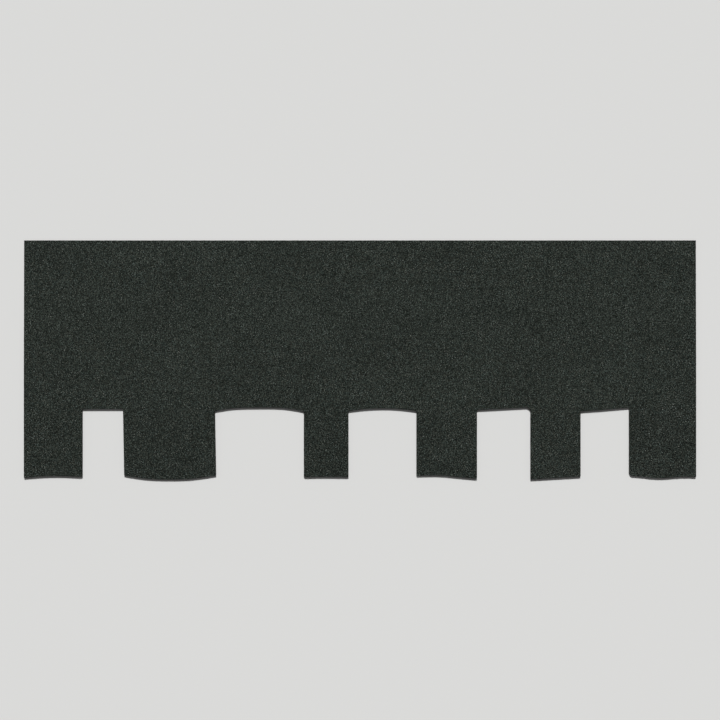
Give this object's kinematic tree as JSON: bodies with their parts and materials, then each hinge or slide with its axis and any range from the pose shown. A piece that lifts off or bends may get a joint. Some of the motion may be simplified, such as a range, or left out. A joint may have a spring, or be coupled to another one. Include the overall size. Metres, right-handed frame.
{
  "type": "laminated asphalt shingle",
  "caption": "Heavy shake-style asphalt roofing shingle: a granule-faced ply with wavy tabs and deep notches, laminated to a narrower backing ply, with sealant dabs under the tabs.",
  "frame": {"origin": "under the middle of the shingle's box, on the plane it lies on", "axes": "+X along the shingle, +Y up the roof from the tabs to the straight top edge, +Z out of the granule face"},
  "size_m": [1.016, 0.362, 0.0061],
  "materials": {
    "granules": "matte mineral granules",
    "asphalt": "dull, dusted with sand",
    "sealant": "glossy"
  },
  "bodies": {
    "root": {"face_ply": "granules", "backing_ply": "asphalt", "sealant_dabs": "sealant"}
  },
  "joints": []
}
